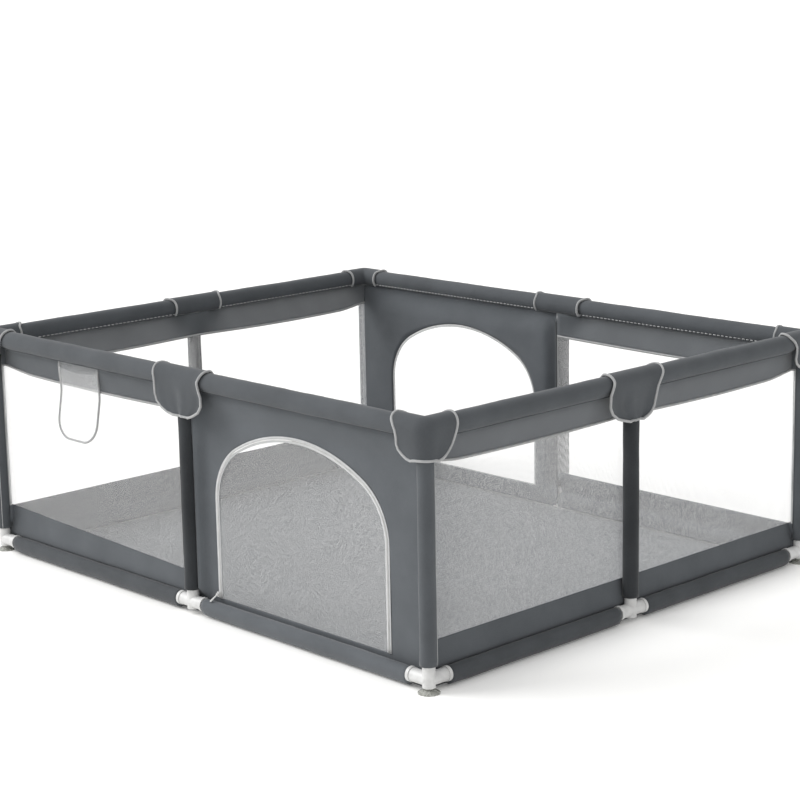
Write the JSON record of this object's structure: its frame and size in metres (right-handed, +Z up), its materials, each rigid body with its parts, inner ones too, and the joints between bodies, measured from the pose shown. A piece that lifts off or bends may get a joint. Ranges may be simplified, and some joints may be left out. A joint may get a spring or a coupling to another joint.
{
  "type": "playpen",
  "caption": "Rectangular baby playpen with a tube frame, padded top rails, mesh walls, arched zip doors, a cloth floor, rail flaps and suction feet.",
  "frame": {"origin": "on the ground, under the middle of the playpen", "axes": "+X along the long sides, +Y from the front side with the pocket to the back side, +Z up"},
  "size_m": [1.835, 1.515, 0.6645],
  "materials": {
    "grey_cloth": "plain-weave slate grey polyester, matt",
    "mesh": "light grey open knitted mesh",
    "zip_tape": "light grey woven zip tape and binding",
    "zip_metal": "white lacquered zip slider",
    "white_plastic": "satin moulded plastic",
    "cup_rubber": "translucent soft vinyl",
    "steel_tube": "powder-coated steel tube"
  },
  "bodies": {
    "frame": {"bottom_corner_joint_back_left": "white_plastic", "bottom_corner_joint_back_right": "white_plastic", "bottom_corner_joint_front_left": "white_plastic", "bottom_corner_joint_front_right": "white_plastic", "bottom_hem_back": "grey_cloth", "bottom_hem_front": "grey_cloth", "bottom_hem_left": "grey_cloth", "bottom_hem_right": "grey_cloth", "bottom_middle_joints": "white_plastic", "bottom_rail_back": "steel_tube", "bottom_rail_front": "steel_tube", "bottom_rail_left": "steel_tube", "bottom_rail_right": "steel_tube", "corner_cover_saddles": "grey_cloth", "corner_post_back_left": "steel_tube", "corner_post_back_right": "steel_tube", "corner_post_front_left": "steel_tube", "corner_post_front_right": "steel_tube", "corner_post_sleeves": "grey_cloth", "door_bay_back": "grey_cloth", "door_bay_front": "grey_cloth", "floor_sheet": "grey_cloth", "mesh_wall_back": "mesh", "mesh_wall_front": "mesh", "mesh_wall_left": "mesh", "mesh_wall_right": "mesh", "middle_cover_saddles": "grey_cloth", "middle_post_back": "steel_tube", "middle_post_front": "steel_tube", "middle_post_left": "steel_tube", "middle_post_right": "steel_tube", "middle_post_sleeves": "grey_cloth", "rail_pad_back": "grey_cloth", "rail_pad_front": "grey_cloth", "rail_pad_left": "grey_cloth", "rail_pad_right": "grey_cloth", "storage_pocket": "mesh", "suction_cups": "cup_rubber", "top_corner_joints": "white_plastic", "top_middle_joints": "white_plastic", "top_rail_back": "steel_tube", "top_rail_front": "steel_tube", "top_rail_left": "steel_tube", "top_rail_right": "steel_tube", "zip_tape_back": "zip_tape", "zip_tape_front": "zip_tape"},
    "door_front": {"door_front": "mesh"},
    "zip_slider_front": {"zip_slider_front": "zip_metal"},
    "zip_pull_front": {"zip_pull_front": "white_plastic"},
    "door_back": {"door_back": "mesh"},
    "zip_slider_back": {"zip_slider_back": "zip_metal"},
    "zip_pull_back": {"zip_pull_back": "white_plastic"},
    "middle_flap_front": {"middle_flap_front": "grey_cloth"},
    "middle_flap_right": {"middle_flap_right": "grey_cloth"},
    "middle_flap_back": {"middle_flap_back": "grey_cloth"},
    "middle_flap_left": {"middle_flap_left": "grey_cloth"},
    "corner_flap_front_right": {"corner_flap_front_right": "grey_cloth"},
    "corner_flap_back_right": {"corner_flap_back_right": "grey_cloth"},
    "corner_flap_back_left": {"corner_flap_back_left": "grey_cloth"},
    "corner_flap_front_left": {"corner_flap_front_left": "grey_cloth"}
  },
  "joints": [
    {"name": "door_front_fold", "type": "hinge", "parent": "frame", "child": "door_front", "pos_m": [0.412, -0.7051, 0.0552], "axis": [1, 0, 0], "range_deg": [0, 90]},
    {"name": "zip_front_slide", "type": "slide", "parent": "frame", "child": "zip_slider_front", "axis": [0, 0, 1], "range_m": [0, 0.25]},
    {"name": "zip_pull_front_swing", "type": "hinge", "parent": "zip_slider_front", "child": "zip_pull_front", "pos_m": [0.0865, -0.7132, 0.066], "axis": [-1, 0, 0], "range_deg": [0, 115]},
    {"name": "door_back_fold", "type": "hinge", "parent": "frame", "child": "door_back", "pos_m": [-0.412, 0.7051, 0.0552], "axis": [-1, 0, 0], "range_deg": [0, 90]},
    {"name": "zip_back_slide", "type": "slide", "parent": "frame", "child": "zip_slider_back", "axis": [0, 0, 1], "range_m": [0, 0.25]},
    {"name": "zip_pull_back_swing", "type": "hinge", "parent": "zip_slider_back", "child": "zip_pull_back", "pos_m": [-0.0865, 0.7132, 0.066], "axis": [1, 0, 0], "range_deg": [0, 115]},
    {"name": "middle_flap_front_lift", "type": "hinge", "parent": "frame", "child": "middle_flap_front", "pos_m": [0, -0.726, 0.6635], "axis": [-1, 0, 0], "range_deg": [0, 120]},
    {"name": "middle_flap_right_lift", "type": "hinge", "parent": "frame", "child": "middle_flap_right", "pos_m": [0.886, 0, 0.6635], "axis": [0, -1, 0], "range_deg": [0, 120]},
    {"name": "middle_flap_back_lift", "type": "hinge", "parent": "frame", "child": "middle_flap_back", "pos_m": [0, 0.726, 0.6635], "axis": [1, 0, 0], "range_deg": [0, 120]},
    {"name": "middle_flap_left_lift", "type": "hinge", "parent": "frame", "child": "middle_flap_left", "pos_m": [-0.886, 0, 0.6635], "axis": [0, 1, 0], "range_deg": [0, 120]},
    {"name": "corner_flap_front_right_lift", "type": "hinge", "parent": "frame", "child": "corner_flap_front_right", "pos_m": [0.846, -0.686, 0.6635], "axis": [-0.7071, -0.7071, 0], "range_deg": [0, 100]},
    {"name": "corner_flap_back_right_lift", "type": "hinge", "parent": "frame", "child": "corner_flap_back_right", "pos_m": [0.846, 0.686, 0.6635], "axis": [0.7071, -0.7071, 0], "range_deg": [0, 100]},
    {"name": "corner_flap_back_left_lift", "type": "hinge", "parent": "frame", "child": "corner_flap_back_left", "pos_m": [-0.846, 0.686, 0.6635], "axis": [0.7071, 0.7071, 0], "range_deg": [0, 100]},
    {"name": "corner_flap_front_left_lift", "type": "hinge", "parent": "frame", "child": "corner_flap_front_left", "pos_m": [-0.846, -0.686, 0.6635], "axis": [-0.7071, 0.7071, 0], "range_deg": [0, 100]}
  ]
}
